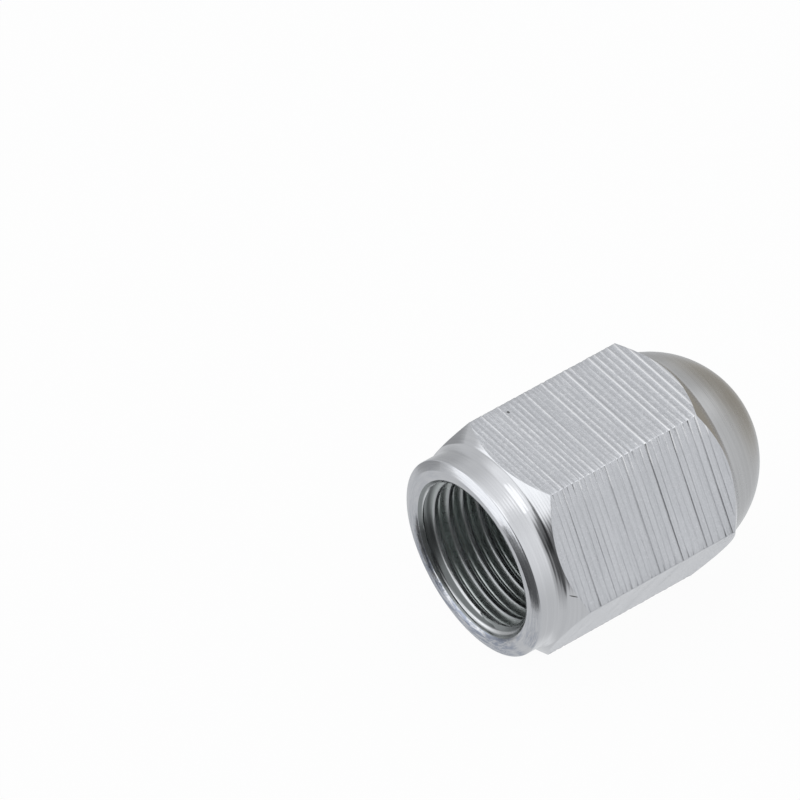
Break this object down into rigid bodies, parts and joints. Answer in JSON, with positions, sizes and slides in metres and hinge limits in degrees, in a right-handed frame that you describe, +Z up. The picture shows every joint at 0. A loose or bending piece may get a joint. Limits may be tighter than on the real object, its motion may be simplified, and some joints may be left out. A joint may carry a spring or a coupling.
{
  "type": "tyre valve cap",
  "caption": "Hexagonal metal tyre valve cap with a domed end, a turned collar and a threaded blind bore that holds a rubber sealing washer.",
  "frame": {"origin": "centre of the mouth plane, on the thread's axis; the cap lies on one of its flats", "axes": "-X along the thread's axis out of the mouth, +X towards the dome, +Z up, square to the flat that it lies on"},
  "size_m": [0.015, 0.0116, 0.01],
  "materials": {
    "milled_aluminium": "plain aluminium, milled flats with lines across them, turned rim and satin turned dome",
    "washer_rubber": "matt black rubber"
  },
  "bodies": {
    "root": {"cap_body": "milled_aluminium", "sealing_washer": "washer_rubber"}
  },
  "joints": []
}
